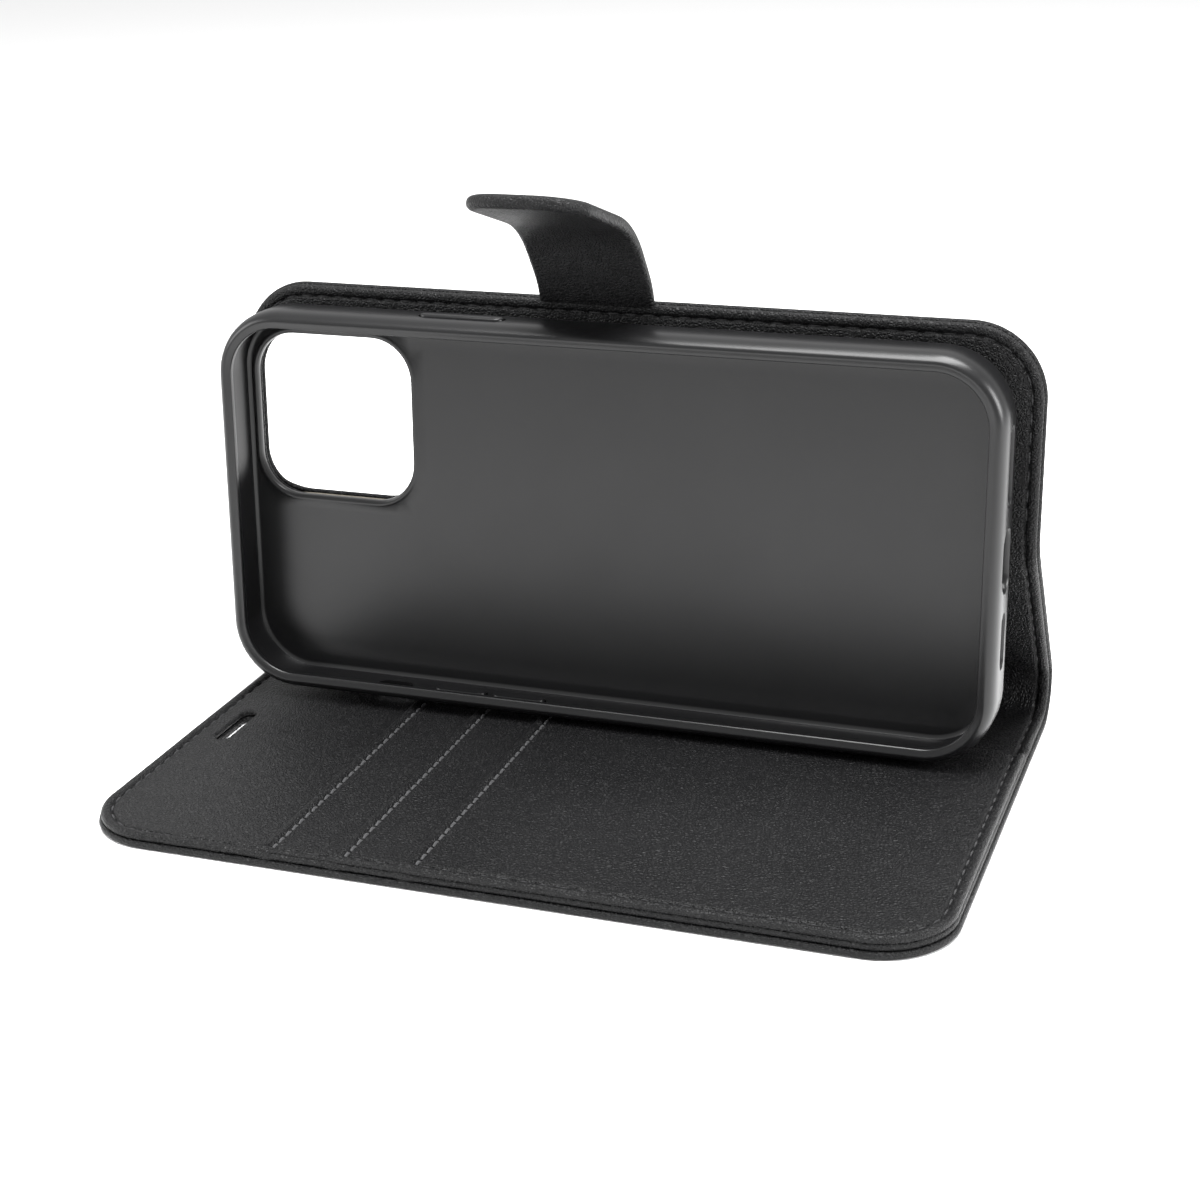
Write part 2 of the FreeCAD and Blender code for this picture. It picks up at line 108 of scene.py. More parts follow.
# %% Path and spot
def rounded_path(corners, radii):
    """Straight runs and arcs through corner points; each inner corner gets its radius."""
    pieces = []
    here = corners[0]
    for before, corner, after, radius in zip(corners, corners[1:], corners[2:], radii):
        into = (corner - before).normalized()
        out = (after - corner).normalized()
        turn = math.atan2(into.x * out.y - into.y * out.x, into.dot(out))
        setback = radius * math.tan(abs(turn) / 2)
        start = corner - into * setback
        pieces.append(("run", here, into, (start - here).length))
        side = math.copysign(1, turn)
        centre = start + Vector((-into.y, into.x)) * radius * side
        pieces.append(("arc", centre, start - centre, radius * abs(turn), side / radius))
        here = corner + out * setback
    last = corners[-1] - here
    pieces.append(("run", here, last.normalized(), last.length))
    return pieces


def path_length(path):
    """Length of the whole path."""
    return sum(piece[3] for piece in path)


def spot(path, along, depth):
    """Place (y, z) at a distance along the path and a depth to its left."""
    for piece in path:
        if along <= piece[3] or piece is path[-1]:
            break
        along -= piece[3]
    if piece[0] == "run":
        _, start, way, _ = piece
        return start + way * along + Vector((-way.y, way.x)) * depth
    _, centre, arm, _, bend = piece
    angle = along * bend
    turned = Matrix.Rotation(angle, 2) @ arm
    return centre + turned * (1 - math.copysign(1, bend) * depth / arm.length)


case_path = rounded_path([Vector((FREE_EDGE, 0)), bend_corner, crease, back_top],
                         [BEND_RADIUS, CREASE_RADIUS])
CASE_LENGTH = path_length(case_path)
ALONG_FRONT_FOLD = fold("front_fold").x - FREE_EDGE
ALONG_REAR_FOLD = fold("spine_rear_fold").x - FREE_EDGE
ALONG_FLAP_FOLD = ALONG_REAR_FOLD + case_path[1][3]
ALONG_CREASE = ALONG_FLAP_FOLD + case_path[2][3] + case_path[3][3] / 2
print("outer skin is", round(CASE_LENGTH, 1), "mm long when laid flat")

# %% [markdown]
# ## Flat outlines
# Every leather piece is a rectangle with rounded corners, perhaps with openings. A distance to
# the nearest edge is all that its surface needs: edges are rolled, seams press a groove a fixed
# distance in, and the board inside starts a fixed distance in.

# %% Distance to a rounded rectangle
CORNERS = ((1, 1, 0), (-1, 1, 90), (-1, -1, 180), (1, -1, 270))


def rectangle(x0, x1, s0, s1, radius=0.0, **special):
    """A rounded rectangle in the flat layout; port_front gives that one corner its own radius."""
    radii = {(side_x, side_s): radius for side_x, side_s, _ in CORNERS}
    radii[1, -1] = special.get("port_front", radius)
    return {"middle": ((x0 + x1) / 2, (s0 + s1) / 2), "half": ((x1 - x0) / 2, (s1 - s0) / 2),
            "radii": radii}


def inside(shape, x, s):
    """Distance from a point inside the shape to its edge; negative outside."""
    out_x, out_s = x - shape["middle"][0], s - shape["middle"][1]
    radius = shape["radii"][1 if out_x >= 0 else -1, 1 if out_s >= 0 else -1]
    reach_x = abs(out_x) - shape["half"][0] + radius
    reach_s = abs(out_s) - shape["half"][1] + radius
    corner = math.hypot(max(reach_x, 0), max(reach_s, 0))
    return radius - corner - min(max(reach_x, reach_s), 0)


def outline(shape, inset, step=1.6):
    """Points round the shape at an inset; a negative inset is outside it."""
    half_x = shape["half"][0] - inset
    half_s = shape["half"][1] - inset
    points = []
    for side_x, side_s, first in CORNERS:
        radius = min(max(shape["radii"][side_x, side_s] - inset, 0.02), half_x, half_s)
        turns = max(2, int(radius * math.pi / 2 / 0.9))
        middle = (shape["middle"][0] + side_x * (half_x - radius),
                  shape["middle"][1] + side_s * (half_s - radius))
        for count in range(turns + 1):
            angle = math.radians(first + 90 * count / turns)
            points.append((middle[0] + radius * math.cos(angle), middle[1] + radius * math.sin(angle)))
    closed = []
    for start, stop in zip(points, points[1:] + points[:1]):
        parts = max(1, round(math.dist(start, stop) / step))
        for part in range(parts):
            share = part / parts
            closed.append((start[0] + (stop[0] - start[0]) * share,
                           start[1] + (stop[1] - start[1]) * share))
    return closed


# %% [markdown]
# ## From flat outline to folded leather
# `leather` lays rings of points along every edge, closer together where the edge rolls over,
# fills the rest with a plain grid, and joins the points to triangles. The same net makes the
# upper and the lower face. A piece may end at a cut, in the middle of a stiff panel, where the
# next piece goes on: there it has no rolled edge.

# %% The leather function
EDGE_RINGS = (0.0, 0.06, 0.18, 0.36, 0.6, 0.9, 1.25, 1.55, 1.8, 2.0, 2.2, 2.4, 2.6, 2.85, 3.2, 3.7, 4.4)
HOLE_RINGS = (0.0, 0.08, 0.22, 0.42, 0.7, 1.1, 1.6, 2.2)


FAR = 1e6


def undulation(x, along):
    """Slow unevenness of hand-laid leather, the same for every layer."""
    return 0.10 * noise.noise(Vector((x / 34, along / 26, 3.7)))


def add_loop(points, edges, loop):
    """Adds a closed ring's points and the edges that the triangles must keep."""
    first = len(points)
    points += loop
    edges += [(first + number, first + (number + 1) % len(loop)) for number in range(len(loop))]


def leather(name, path, shape, faces, material, holes=(), cuts=(-FAR, FAR), step=2.2, rings=EDGE_RINGS,
            bends=(), extra=()):
    """A closed leather piece. faces(d, x, s) gives its lower and upper depth at distance d from
    the nearest edge; cuts is a pair of distances along the path where the piece ends open; extra
    is more points, where a detail needs them."""
    low_cut, high_cut = cuts
    open_ends = [cut for cut in cuts if abs(cut) < FAR]
    points, edges, edge_points = [], [], []
    for inset in rings:
        ring = outline(shape, inset)
        index = {}
        for number, point in enumerate(ring):
            if low_cut < point[1] < high_cut:
                index[number] = len(points)
                points.append(point)
        for number in index:
            after = (number + 1) % len(ring)
            if after in index:
                edges.append((index[number], index[after]))
        for cut in open_ends:
            if inside(shape, shape["middle"][0], cut) > 0:
                for side in (-1, 1):
                    edge_points.append((shape["middle"][0] + side * (shape["half"][0] - inset), cut))
    for hole in holes:
        for outset in HOLE_RINGS:
            add_loop(points, edges, outline(hole, -outset, 1.2))

    x0 = shape["middle"][0] - shape["half"][0]
    x1 = shape["middle"][0] + shape["half"][0]
    s0 = max(low_cut, shape["middle"][1] - shape["half"][1])
    s1 = min(high_cut, shape["middle"][1] + shape["half"][1])
    columns = [x0 + (x1 - x0) * number / round((x1 - x0) / step)
               for number in range(round((x1 - x0) / step) + 1)]
    for cut in open_ends:
        edge_points.extend((x, cut) for x in columns if inside(shape, x, cut) > rings[-1] + 0.5)
    rows, row = [], s0
    while row < s1:
        rows.append(row)
        row += step if not any(abs(row - bend) < reach for bend, reach in bends) else 0.8
    points.extend(edge_points)

    def hole_gap(x, s):
        """Distance to the nearest opening."""
        return min([-inside(hole, x, s) for hole in holes], default=FAR)

    def clearance(x, s):
        """Distance to the nearest edge or opening."""
        return min(inside(shape, x, s), hole_gap(x, s))

    for s in rows[1:]:
        for x in columns:
            near = min(s - low_cut, high_cut - s)
            if (inside(shape, x, s) > rings[-1] + 0.5 and near > 0.4
                    and hole_gap(x, s) > HOLE_RINGS[-1] + 0.5):
                points.append((x, s))
    points.extend(extra)

    flat, _, triangles, *_ = delaunay_2d_cdt([Vector(point) for point in points], edges, [], 0, 1e-5)
    kept = []
    for triangle in triangles:
        x = sum(flat[corner].x for corner in triangle) / 3
        s = sum(flat[corner].y for corner in triangle) / 3
        if clearance(x, s) > 0 and low_cut < s < high_cut:
            kept.append(triangle)
    used = sorted({corner for triangle in kept for corner in triangle})
    number_of = {corner: number for number, corner in enumerate(used)}
    count = len(used)
    lower, upper = [], []
    for corner in used:
        x, s = flat[corner].x, flat[corner].y
        low, high = faces(max(clearance(x, s), 0), x, s)
        lift = undulation(x, s)
        for level, side in ((low, lower), (high, upper)):
            y, z = spot(path, s, level + (lift if level > 0.02 else 0))
            side.append((x * MM, y * MM, z * MM))
    quads = []
    borders = {}
    for triangle in kept:
        a, b, c = (number_of[corner] for corner in triangle)
        quads.append((a + count, b + count, c + count))
        quads.append((c, b, a))
        for pair in ((a, b), (b, c), (c, a)):
            borders[pair] = True
    for a, b in borders:
        if (b, a) not in borders:
            quads.append((a, b, b + count, a + count))
    mesh = bpy.data.meshes.new(name)
    mesh.from_pydata(lower + upper, [], quads)
    return finish_mesh(name, mesh, material)


def finish_mesh(name, mesh, material, sharp=48):
    """Turns a mesh into a shown object with outward faces and smooth shading."""
    work = bmesh.new()
    work.from_mesh(mesh)
    bmesh.ops.remove_doubles(work, verts=work.verts, dist=1e-7)
    bmesh.ops.recalc_face_normals(work, faces=work.faces)
    work.to_mesh(mesh)
    work.free()
    mesh.polygons.foreach_set("use_smooth", [True] * len(mesh.polygons))
    mesh.set_sharp_from_angle(angle=math.radians(sharp))
    piece = bpy.data.objects.new(name, mesh)
    bpy.context.scene.collection.objects.link(piece)
    mesh.materials.append(material)
    print(name, len(mesh.polygons), "faces")
    return piece


def finish_work(name, work, material, sharp=48):
    """Turns an open workpiece into a shown object."""
    mesh = bpy.data.meshes.new(name)
    work.to_mesh(mesh)
    work.free()
    return finish_mesh(name, mesh, material, sharp)


def plain_mesh(carrier):
    """The mesh that an object's modifiers make; the object itself is removed."""
    bpy.context.view_layer.update()
    graph = bpy.context.evaluated_depsgraph_get()
    mesh = bpy.data.meshes.new_from_object(carrier.evaluated_get(graph))
    bpy.data.objects.remove(carrier)
    return mesh


def band(work, before, after):
    """Joins two loops with the same number of points by a band of faces."""
    for number in range(len(before)):
        follower = (number + 1) % len(before)
        work.faces.new((before[number], before[follower], after[follower], after[number]))


def rolled(low, high, d, radius):
    """Lower and upper depth near a rounded edge."""
    if d >= radius:
        return low, high
    middle, half = (low + high) / 2, (high - low) / 2
    share = 0.12 + 0.88 * math.sqrt(1 - (1 - d / radius) ** 2)
    return middle - half * share, middle + half * share


def groove(d, place, depth, width=0.5):
    """Depth of the groove that a seam presses, at distance d from the edge."""
    return depth * math.exp(-((d - place) / width) ** 2)

# %% [markdown]
# ## Finishes
# A finish is a small tree of nodes. Colours are written as the hex values that a painter would
# pick and are turned to linear light by one function. One helper adds a node, sets it and links
# it. Pattern sizes are real: the coordinates come in metres, so a scale of 1000 divided by a
# size in millimetres gives one cell of the pattern for each of them.

# %% Colour and node helpers
def linear(hex_colour):
    """An sRGB hex colour as linear light with full cover."""
    values = [int(hex_colour[start:start + 2], 16) / 255 for start in (1, 3, 5)]
    straight = [v / 12.92 if v <= 0.04045 else ((v + 0.055) / 1.055) ** 2.4 for v in values]
    return (*straight, 1.0)


def add(tree, kind, settings=None, inputs=None):
    """Adds a node. A socket given as an input value is linked; anything else is set."""
    node = tree.nodes.new(kind)
    for name, value in (settings or {}).items():
        setattr(node, name, value)
    for key, value in (inputs or {}).items():
        if isinstance(value, bpy.types.NodeSocket):
            tree.links.new(value, node.inputs[key])
        else:
            node.inputs[key].default_value = value
    return node


def new_finish(name):
    """An empty material with its output and the place on the object, in metres."""
    material = bpy.data.materials.new(name)
    material.use_nodes = True
    tree = material.node_tree
    tree.nodes.clear()
    place = add(tree, "ShaderNodeTexCoord").outputs["Object"]
    return material, tree, place


def close_finish(tree, shader):
    """Joins the shader to the output."""
    add(tree, "ShaderNodeOutputMaterial", inputs={"Surface": shader.outputs[0]})


# %% [markdown]
# ## Coated leather
# The case is polyurethane-coated leather: a black film embossed with a fine pebble grain. Film
# gives a satin sheen broken up by the grain. The grain is a cell pattern with soft valleys,
# about 0.6 mm a pebble, under a finer wrinkle. Slow changes of roughness and shade stand for
# handling.

# %% Leather finish
def coated_leather(name, dark, light, pebble, roughness, relief):
    """Embossed polyurethane film; sizes in millimetres."""
    material, tree, place = new_finish(name)
    drift = add(tree, "ShaderNodeTexNoise", inputs={"Vector": place, "Scale": 1000 / 1.7, "Detail": 2.0})
    warped = add(tree, "ShaderNodeMix", {"data_type": "VECTOR"},
                 {0: 0.0009, 4: place, 5: drift.outputs["Color"]})
    cells = add(tree, "ShaderNodeTexVoronoi", {"feature": "DISTANCE_TO_EDGE"},
                {"Vector": warped.outputs[1], "Scale": 1000 / pebble})
    pebbles = add(tree, "ShaderNodeMapRange", {"interpolation_type": "SMOOTHSTEP"},
                  {"Value": cells.outputs["Distance"], "From Min": 0.0, "From Max": 0.32})
    wrinkle = add(tree, "ShaderNodeTexNoise", inputs={"Vector": place, "Scale": 1000 / (pebble * 0.45),
                                                      "Detail": 3.0, "Roughness": 0.6})
    height = add(tree, "ShaderNodeMath", {"operation": "MULTIPLY_ADD"},
                 {0: wrinkle.outputs["Fac"], 1: 0.45, 2: pebbles.outputs["Result"]})
    bump = add(tree, "ShaderNodeBump", inputs={"Height": height.outputs[0], "Strength": relief,
                                               "Distance": 0.00014})
    slow = add(tree, "ShaderNodeTexNoise", inputs={"Vector": place, "Scale": 1000 / 28, "Detail": 3.0})
    shade = add(tree, "ShaderNodeMix", {"data_type": "RGBA"},
                {0: slow.outputs["Fac"], 6: linear(dark), 7: linear(light)})
    # Painted shade: the colour is darkened in the grain's valleys, where shade falls.
    valley_painted_shade = add(tree, "ShaderNodeMix", {"data_type": "RGBA", "blend_type": "MULTIPLY"},
                 {0: 0.35, 6: shade.outputs[2], 7: pebbles.outputs["Result"]})
    rough = add(tree, "ShaderNodeMapRange", inputs={"Value": slow.outputs["Fac"], "To Min": roughness - 0.05,
                                                    "To Max": roughness + 0.07})
    shader = add(tree, "ShaderNodeBsdfPrincipled",
                 inputs={"Base Color": valley_painted_shade.outputs[2], "Roughness": rough.outputs["Result"],
                         "Normal": bump.outputs["Normal"], "IOR": 1.5, "Specular IOR Level": 0.2})
    close_finish(tree, shader)
    return material


outer_leather = coated_leather("coated_leather_outer", "#0d0d0e", "#151516", 0.65, 0.46, 0.85)
lining_leather = coated_leather("coated_leather_lining", "#0c0c0d", "#141415", 0.6, 0.43, 0.85)
card_leather = coated_leather("coated_leather_card_slots", "#0f0f10", "#171718", 0.6, 0.42, 1.0)

# %% [markdown]
# ## Moulded rubber of the tray
# The tray is thermoplastic polyurethane, moulded against a finely blasted tool: matt at arm's
# length, but its rounded edges catch a broad soft highlight. A very fine speckle in the
# roughness and a faint orange peel in the height are all that the surface shows.

# %% Rubber finish
def moulded_rubber(name, colour, roughness, gloss):
    """Thermoplastic polyurethane from a blasted mould."""
    material, tree, place = new_finish(name)
    blast = add(tree, "ShaderNodeTexNoise", inputs={"Vector": place, "Scale": 1000 / 0.35, "Detail": 2.0})
    flow = add(tree, "ShaderNodeTexNoise", inputs={"Vector": place, "Scale": 1000 / 22, "Detail": 2.0})
    bump = add(tree, "ShaderNodeBump", inputs={"Height": blast.outputs["Fac"], "Strength": 0.12,
                                               "Distance": 0.00005})
    rough = add(tree, "ShaderNodeMapRange", inputs={"Value": flow.outputs["Fac"], "To Min": roughness - 0.04,
                                                    "To Max": roughness + 0.05})
    shader = add(tree, "ShaderNodeBsdfPrincipled",
                 inputs={"Base Color": linear(colour), "Roughness": rough.outputs["Result"],
                         "Normal": bump.outputs["Normal"], "IOR": 1.5, "Specular IOR Level": gloss})
    close_finish(tree, shader)
    return material


tray_rubber = moulded_rubber("moulded_polyurethane_tray", "#0e0e0f", 0.3, 0.38)
key_rubber = moulded_rubber("moulded_polyurethane_keys", "#121213", 0.3, 0.3)

# %% [markdown]
# ## Thread, board, glue pad and metals
# Waxed polyester thread is twisted, so its shade runs in fine slanting bands. The pieces that
# the leather hides get their own finishes too, because the case may be taken apart: grey
# fibre board, a dark foam glue pad, rolled steel and a nickel-plated magnet.

# %% Small finishes
def twisted_thread(name, colour, roughness):
    """Waxed polyester thread, three strands."""
    material, tree, place = new_finish(name)
    bands = add(tree, "ShaderNodeTexWave", {"bands_direction": "DIAGONAL"},
                {"Vector": place, "Scale": 1000 / 1.2})
    bump = add(tree, "ShaderNodeBump", inputs={"Height": bands.outputs["Fac"], "Strength": 0.6,
                                               "Distance": 0.00008})
    shader = add(tree, "ShaderNodeBsdfPrincipled",
                 inputs={"Base Color": linear(colour), "Roughness": roughness,
                         "Normal": bump.outputs["Normal"], "Sheen Weight": 0.2})
    close_finish(tree, shader)
    return material


def mottled(name, colours, grain, roughness, metallic=0.0):
    """A surface whose shade and height follow one grain; for board, foam and plain metal."""
    material, tree, place = new_finish(name)
    noise_node = add(tree, "ShaderNodeTexNoise",
                     inputs={"Vector": place, "Scale": 1000 / grain, "Detail": 4.0})
    shade = add(tree, "ShaderNodeMix", {"data_type": "RGBA"},
                {0: noise_node.outputs["Fac"], 6: linear(colours[0]), 7: linear(colours[1])})
    bump = add(tree, "ShaderNodeBump", inputs={"Height": noise_node.outputs["Fac"], "Strength": 0.3,
                                               "Distance": 0.0001})
    shader = add(tree, "ShaderNodeBsdfPrincipled",
                 inputs={"Base Color": shade.outputs[2], "Roughness": roughness,
                         "Metallic": metallic, "Normal": bump.outputs["Normal"]})
    close_finish(tree, shader)
    return material


# The same thread gets two colours: the edge thread is painted shade, darker for the shade in the seam groove,
# and the slot thread is painted highlight, lighter for the light that its raised stitches catch.
edge_thread = twisted_thread("waxed_polyester_thread_painted_shade", "#18181a", 0.68)
slot_thread = twisted_thread("waxed_polyester_thread_painted_highlight", "#29292b", 0.55)
fibre_board = mottled("grey_fibre_board", ("#6f6a60", "#8a8478"), 1.5, 0.9)
glue_foam = mottled("foam_glue_pad", ("#101010", "#1a1a1a"), 0.6, 0.85)
rolled_steel = mottled("cold_rolled_steel", ("#8a8b8d", "#9c9d9f"), 0.4, 0.35, 1.0)
nickel = mottled("nickel_plated_magnet", ("#a5a19a", "#b4b0a8"), 0.5, 0.25, 1.0)

CARRIED_FINISHES = {"front_board": fibre_board, "spine_board": fibre_board, "flap_board": fibre_board,
                    "back_board": fibre_board, "glue_pad": glue_foam, "clasp_plate": rolled_steel,
                    "strap_magnet": nickel}
for name, finish in CARRIED_FINISHES.items():
    node = frame["nodes"][name]
    node.data.materials.clear()
    node.data.materials.append(finish)
print("carried over:", ", ".join(CARRIED_FINISHES))

# %% [markdown]
# ## Openings in the flat layout
# The earpiece opening goes through every layer of the front cover, and the camera opening
# through every layer of the back. Both are ovals or rounded squares in the flat layout. The
# camera opening reaches a little below the crease, as on the real case.

# %% Openings
PANEL_END = END_X
SKIN_THICK, BOARD_TOP, LINING_TOP = 1.0, 1.8, 2.5
CARD_THICK = 0.4
EARPIECE = {"middle": (-PANEL_END + 7.4, -FREE_EDGE + 8.5), "width": 2.8, "length": 13.5}
earpiece = rectangle(EARPIECE["middle"][0] - EARPIECE["width"] / 2,
                     EARPIECE["middle"][0] + EARPIECE["width"] / 2,
                     EARPIECE["middle"][1] - EARPIECE["length"] / 2,
                     EARPIECE["middle"][1] + EARPIECE["length"] / 2, EARPIECE["width"] / 2)
tray_box = [Vector(corner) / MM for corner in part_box("phone_tray")]
TRAY_LEFT, TRAY_LENGTH, TRAY_HEIGHT = tray_box[0].x, 150.0, 74.7
BACK_START = CASE_LENGTH - BACK_HEIGHT
CAMERA = {"left": TRAY_LEFT + 3.7, "length": 32.2, "low": 37.0, "height": 31.7, "radius": 8.0}


def camera_hole(margin, along=0.0):
    """The camera opening, a margin larger all round, in a layout that starts at along."""
    return rectangle(CAMERA["left"] - margin, CAMERA["left"] + CAMERA["length"] + margin,
                     along + CAMERA["low"] - margin,
                     along + CAMERA["low"] + CAMERA["height"] + margin, CAMERA["radius"] + margin)


# %% [markdown]
# ## Outer skin
# One sheet of leather wraps the whole case. At its edges it is turned over the boards, so it is
# thicker there, and the seam presses a groove a little way in. The sheet is made as four
# stretches that meet in the middle of a stiff panel, each bending over one fold only.

# %% Outer skin
MID_SPINE = (ALONG_FRONT_FOLD + ALONG_REAR_FOLD) / 2
MID_BEND = (ALONG_REAR_FOLD + ALONG_FLAP_FOLD) / 2
MID_FLAP = (ALONG_FLAP_FOLD + ALONG_CREASE) / 2
STRETCHES = [("cover", (-FAR, MID_SPINE)), ("spine", (MID_SPINE, MID_BEND)),
             ("flap", (MID_BEND, MID_FLAP)), ("back", (MID_FLAP, FAR))]
BENDS = [(ALONG_FRONT_FOLD, 4), ((ALONG_REAR_FOLD + ALONG_FLAP_FOLD) / 2, 11), (ALONG_CREASE, 6)]
SEAM_INSET = 2.4
TURNED_EDGE = 1.32
OPENING_TURN = 0.6
CORNER_RADIUS = 13.5
skin_shape = rectangle(-PANEL_END, PANEL_END, 0, CASE_LENGTH, CORNER_RADIUS)


def step_down(value, edge):
    """Goes smoothly from 1 to 0 where a value passes an edge."""
    return 1 / (1 + math.exp(min((value - edge) / 0.12, 60)))


def hinge_line(s):
    """Share of a pressed hinge line's depth at a distance along the case."""
    return sum(math.exp(-((s - line) / 1.0) ** 2) for line in (ALONG_FRONT_FOLD, ALONG_CREASE))


def skin_faces(d, x, s):
    """The outer skin: turned edge, rolled rim, seam groove and pressed hinge lines."""
    rim = inside(skin_shape, x, s)
    turned = max(step_down(rim, 3.7), step_down(d, OPENING_TURN))
    high = SKIN_THICK + (TURNED_EDGE - SKIN_THICK) * turned
    low, high = rolled(0.0, high, d, 0.65)
    return low + groove(rim, SEAM_INSET, 0.24) + 0.22 * hinge_line(s), high


skin_holes = {"cover": [earpiece], "back": [camera_hole(0.3, BACK_START)]}
skins = {}
for part, cuts in STRETCHES:
    skins[part] = leather("outer_skin_" + part, case_path, skin_shape, skin_faces, outer_leather,
                          skin_holes.get(part, ()), cuts, bends=BENDS)

# %% [markdown]
# ## Lining
# The lining is a second sheet, a little smaller than the skin, glued over the boards and sewn
# through at the rim. Between the two rolled edges a dark line shows all round the case. It is
# cut into the same four stretches.

# %% Lining
LINING_INSET = 0.4
lining_shape = rectangle(-PANEL_END + LINING_INSET, PANEL_END - LINING_INSET, LINING_INSET,
                         CASE_LENGTH - LINING_INSET, CORNER_RADIUS - LINING_INSET)
mouths = [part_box("card_panel_" + level)[0][0] / MM for level in ("lower", "middle", "upper")]


def mouth_wrap(x, rim, s):
    """Share of the lump that each folded mouth makes where it is turned over the rim."""
    near = sum(math.exp(-((x - mouth - 0.9) / 0.95) ** 4) for mouth in mouths)
    return near / (1 + math.exp((rim - 1.9) / 0.25)) * (s < MID_SPINE)


def lining_faces(d, x, s):
    """The lining: a thick roll of its own at the rim, the seam groove, the hinge lines."""
    rim = inside(lining_shape, x, s)
    turned = max(step_down(rim, 3.2), step_down(d, OPENING_TURN))
    wrap = mouth_wrap(x, rim, s)
    low = BOARD_TOP - (BOARD_TOP - TURNED_EDGE - 0.02) * turned - 0.55 * wrap
    roll = 0.26 if s < MID_SPINE else 0.14
    low, high = rolled(low, LINING_TOP + roll * math.exp(-((rim - 0.9) / 0.65) ** 2), d, 0.62)
    return low, high + 0.3 * wrap - groove(rim, SEAM_INSET - LINING_INSET, 0.42, 0.26) - 0.3 * hinge_line(s)


linings = {}
for part, cuts in STRETCHES:
    linings[part] = leather("lining_" + part, case_path, lining_shape, lining_faces,
                            lining_leather, skin_holes.get(part, ()), cuts, bends=BENDS)

# %% [markdown]
# ## Card slots
# Three panels lie on the lining, each covering the one below except for a strip. A card slides
# in at a panel's left edge. That edge is folded under, which leaves a low ridge, and is sewn
# along just beside the fold. The other three edges end at the rim of the cover.

# %% Card slot panels
SLOT_INSET = 2.2
COVER_END = cover_high.y - FREE_EDGE - 3
SLOT_START = 3.0
SLOT_PITCH = (COVER_END - SLOT_START) / int((COVER_END - SLOT_START) / 2.4)
card_panels = {}
for number, level_name in enumerate(("lower", "middle", "upper")):
    node_name = "card_panel_" + level_name
    mouth = mouths[number]
    rim_inset = 0.8 - 0.15 * number

    def card_faces(d, x, s, mouth=mouth, number=number):
        """A card panel: rolled down over the ones below at the rim, a ridge and a seam at its mouth."""
        rim = inside(skin_shape, x, s)
        from_mouth = x - mouth
        floor_level = LINING_TOP - 0.04 + number * CARD_THICK
        turned = step_down(rim, 2.0)
        roll = 0.06 + 0.2 * math.exp(-((rim - 1.3) / 0.5) ** 2)
        low, high = rolled(floor_level - number * CARD_THICK * turned,
                           floor_level + CARD_THICK + roll, d, 0.45)
        ridge = 0.34 * math.exp(-((from_mouth - 1.0) / 0.7) ** 4)
        pucker = 0.5 - 0.5 * math.cos(2 * math.pi * (s - SLOT_START) / SLOT_PITCH)
        seam = (0.16 + 0.22 * pucker) * math.exp(-((from_mouth - SLOT_INSET) / 0.4) ** 2)
        groove_depth = groove(rim, SEAM_INSET, 0.42, 0.26)
        return low, high + ridge + 0.3 * mouth_wrap(x, rim - LINING_INSET, s) - max(seam, groove_depth)

    seam_points = [(mouth + SLOT_INSET + across * 0.3, 5.2 + step * SLOT_PITCH / 6) for across in range(-3, 4)
                   for step in range(int((COVER_END - 5.4) / SLOT_PITCH * 6))]
    shape = rectangle(mouth, PANEL_END - rim_inset, rim_inset, cover_high.y - FREE_EDGE - 1.5, 0.3,
                      port_front=CORNER_RADIUS - rim_inset)
    card_panels[node_name] = leather(node_name + "_leather", case_path, shape, card_faces,
                                     card_leather, extra=seam_points)

# %% [markdown]
# ## The phone tray
# The tray is moulded in one piece: a floor, a wall that bulges a little, and a lip that snaps
# over the phone. Its section is the same all round, so it is drawn once, as a list of insets and
# depths, and carried round the rounded outline. The floor closes the inside, with the camera
# opening left out.

# %% Tray section and shell
TRAY_LEVEL = 2.8
TRAY_CORNER = 13.0
TRAY_SECTION = [(2.6, 0.0), (1.7, 0.1), (0.95, 0.42), (0.42, 1.0), (0.12, 1.9), (0.0, 3.2),
                (0.0, 5.6), (0.02, 7.4), (0.12, 8.7), (0.36, 9.8), (0.75, 10.65), (1.2, 11.2),
                (1.62, 11.45), (1.9, 11.5), (2.15, 11.44), (2.5, 11.28), (2.85, 11.2),
                (3.08, 11.16), (3.2, 11.02), (3.22, 10.6), (3.18, 10.1), (3.05, 9.92), (2.7, 9.9),
                (1.7, 9.9), (1.55, 9.7), (1.55, 2.4), (1.72, 1.8), (2.1, 1.5), (2.6, 1.4)]
tray_shape = rectangle(TRAY_LEFT, TRAY_LEFT + TRAY_LENGTH, 0, TRAY_HEIGHT, TRAY_CORNER)


def on_back(x, height, depth):
    """A place in the back's own frame: height above the tray's foot, depth from the skin."""
    at = tray_foot + UP * height + FORWARD * depth
    return (x * MM, at.x * MM, at.y * MM)


def even_loop(shape, inset, turns=14, steps=(44, 18)):
    """Points round a rounded rectangle at an inset, always the same number of them."""
    half_x = shape["half"][0] - inset
    half_s = shape["half"][1] - inset
    radius = shape["radii"][1, 1] - inset

    def corner_point(side_x, side_s, degrees):
        """A point on one corner's arc."""
        angle = math.radians(degrees)
        return (shape["middle"][0] + side_x * (half_x - radius) + radius * math.cos(angle),
                shape["middle"][1] + side_s * (half_s - radius) + radius * math.sin(angle))

    loop = []
    for number, (side_x, side_s, first) in enumerate(CORNERS):
        loop += [corner_point(side_x, side_s, first + 90 * count / turns) for count in range(turns + 1)]
        start, goal = loop[-1], corner_point(*CORNERS[(number + 1) % 4])
        parts = steps[number % 2]
        loop += [(start[0] + (goal[0] - start[0]) * part / parts,
                  start[1] + (goal[1] - start[1]) * part / parts) for part in range(1, parts)]
    return loop


